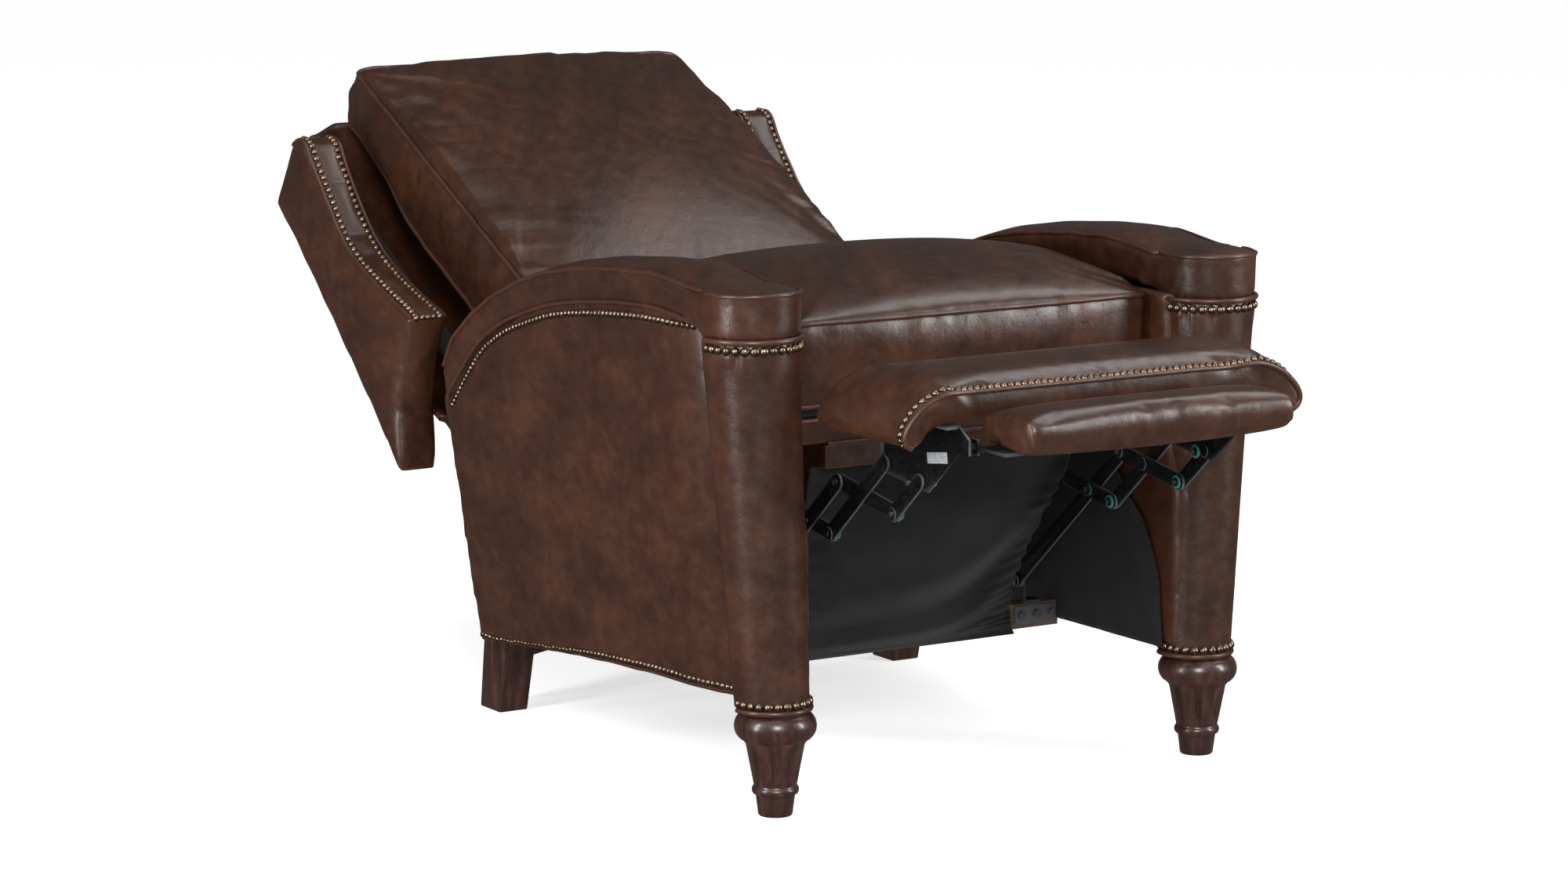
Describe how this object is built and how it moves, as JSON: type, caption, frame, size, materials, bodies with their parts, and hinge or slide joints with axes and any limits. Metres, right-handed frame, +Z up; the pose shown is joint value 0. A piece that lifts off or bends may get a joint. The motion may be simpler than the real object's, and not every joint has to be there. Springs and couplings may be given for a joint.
{
  "type": "recliner armchair",
  "caption": "Push-back leather recliner armchair with winged back, padded round-post arms, turned front legs, nailhead trim and a folding footrest.",
  "frame": {"origin": "on the floor, under the middle of the box that the chair fills when reclined with its footrest out", "axes": "+Z up, -Y the way the sitter faces, +X to the sitter's left"},
  "size_m": [0.786, 1.598, 0.7862],
  "materials": {
    "leather": "antiqued pull-up cowhide, satin",
    "show_wood": "dark mahogany, satin lacquer",
    "frame_wood": "raw beech",
    "black_cloth": "black woven cotton lining",
    "link_steel": "black e-coated steel",
    "zinc": "zinc plated spring wire"
  },
  "bodies": {
    "base": {"front_leg_left": "show_wood", "front_leg_right": "show_wood", "rear_leg_left": "show_wood", "rear_leg_right": "show_wood", "arm_outer_panel_left": "leather", "arm_outer_panel_right": "leather", "arm_lining_left": "leather", "arm_lining_right": "leather", "arm_post_left": "leather", "arm_post_right": "leather", "arm_cap_left": "leather", "arm_cap_right": "leather", "arm_pad_left": "leather", "arm_pad_right": "leather", "mechanism_side_plate_left": "link_steel", "mechanism_side_plate_right": "link_steel", "tension_spring_left": "zinc", "tension_spring_right": "zinc", "back_pivot_plate_left": "link_steel", "back_pivot_plate_right": "link_steel", "lower_back_panel": "leather", "rear_rail": "show_wood", "front_cross_rail": "frame_wood", "rear_cross_rail": "frame_wood", "bib_curtain": "black_cloth"},
    "crank": {"crank_left": "link_steel", "crank_right": "link_steel", "torque_tube": "link_steel"},
    "long_links": {"long_link_left": "link_steel", "long_link_right": "link_steel"},
    "cross_links": {"cross_link_left": "link_steel", "cross_link_right": "link_steel"},
    "rear_risers": {"rear_riser_left": "link_steel", "rear_riser_right": "link_steel"},
    "front_links": {"front_link_left": "link_steel", "front_link_right": "link_steel"},
    "front_risers": {"front_riser_left": "link_steel", "front_riser_right": "link_steel"},
    "footrest": {"footrest_pad": "leather", "footrest_bracket_left": "link_steel", "footrest_bracket_right": "link_steel"},
    "flap": {"flap_pad": "leather", "flap_plate_left": "link_steel", "flap_plate_right": "link_steel"},
    "seat": {"seat_cushion": "leather", "seat_deck": "frame_wood", "seat_front_rail": "leather", "seat_apron": "leather", "seat_rear_rail": "frame_wood", "seat_side_rail_left": "frame_wood", "seat_side_rail_right": "frame_wood"},
    "back": {"back_cushion": "leather", "outside_back": "leather", "wing_left": "leather", "wing_right": "leather", "back_stile_left": "frame_wood", "back_stile_right": "frame_wood", "back_bracket_left": "link_steel", "back_bracket_right": "link_steel"}
  },
  "joints": [
    {"name": "legrest", "type": "hinge", "parent": "base", "child": "crank", "pos_m": [0, -0.123, 0.243], "axis": [1, 0, 0], "range_deg": [0, 48.8]},
    {"name": "long_link_turn", "type": "hinge", "parent": "crank", "child": "long_links", "pos_m": [0, -0.192, 0.188], "axis": [1, 0, 0], "range_deg": [-40.5, 0.5]},
    {"name": "cross_link_turn", "type": "hinge", "parent": "long_links", "child": "cross_links", "pos_m": [0, -0.35552, 0.33065], "axis": [1, 0, 0], "range_deg": [-0.5, 82]},
    {"name": "rear_riser_turn", "type": "hinge", "parent": "cross_links", "child": "rear_risers", "pos_m": [0, -0.40549, 0.32265], "axis": [1, 0, 0], "range_deg": [-82, 0.5]},
    {"name": "front_link_turn", "type": "hinge", "parent": "long_links", "child": "front_links", "pos_m": [0, -0.42108, 0.38784], "axis": [1, 0, 0], "range_deg": [-0.5, 82]},
    {"name": "front_riser_turn", "type": "hinge", "parent": "front_links", "child": "front_risers", "pos_m": [0, -0.54402, 0.36815], "axis": [1, 0, 0], "range_deg": [-82, 0.5]},
    {"name": "footrest_turn", "type": "hinge", "parent": "front_risers", "child": "footrest", "pos_m": [0, -0.59677, 0.41417], "axis": [1, 0, 0], "range_deg": [-0.5, 82]},
    {"name": "flap_fold", "type": "hinge", "parent": "footrest", "child": "flap", "pos_m": [0, -0.687, 0.467], "axis": [1, 0, 0], "range_deg": [-0.5, 177.5]},
    {"name": "back_recline", "type": "hinge", "parent": "base", "child": "back", "pos_m": [0, 0.196, 0.425], "axis": [1, 0, 0], "range_deg": [0, 36]},
    {"name": "seat_tilt", "type": "hinge", "parent": "base", "child": "seat", "pos_m": [0, 0.146, 0.402], "axis": [1, 0, 0], "range_deg": [-0.5, 6.5]}
  ],
  "couplings": [
    {"joint": "long_link_turn", "follows": "legrest", "ratio": -0.81353},
    {"joint": "cross_link_turn", "follows": "legrest", "ratio": 1.6578},
    {"joint": "rear_riser_turn", "follows": "legrest", "ratio": -1.6578},
    {"joint": "front_link_turn", "follows": "legrest", "ratio": 1.6578},
    {"joint": "front_riser_turn", "follows": "legrest", "ratio": -1.6578},
    {"joint": "footrest_turn", "follows": "legrest", "ratio": 1.6578},
    {"joint": "flap_fold", "follows": "legrest", "ratio": 3.6066},
    {"joint": "seat_tilt", "follows": "back_recline", "ratio": 0.15833}
  ]
}
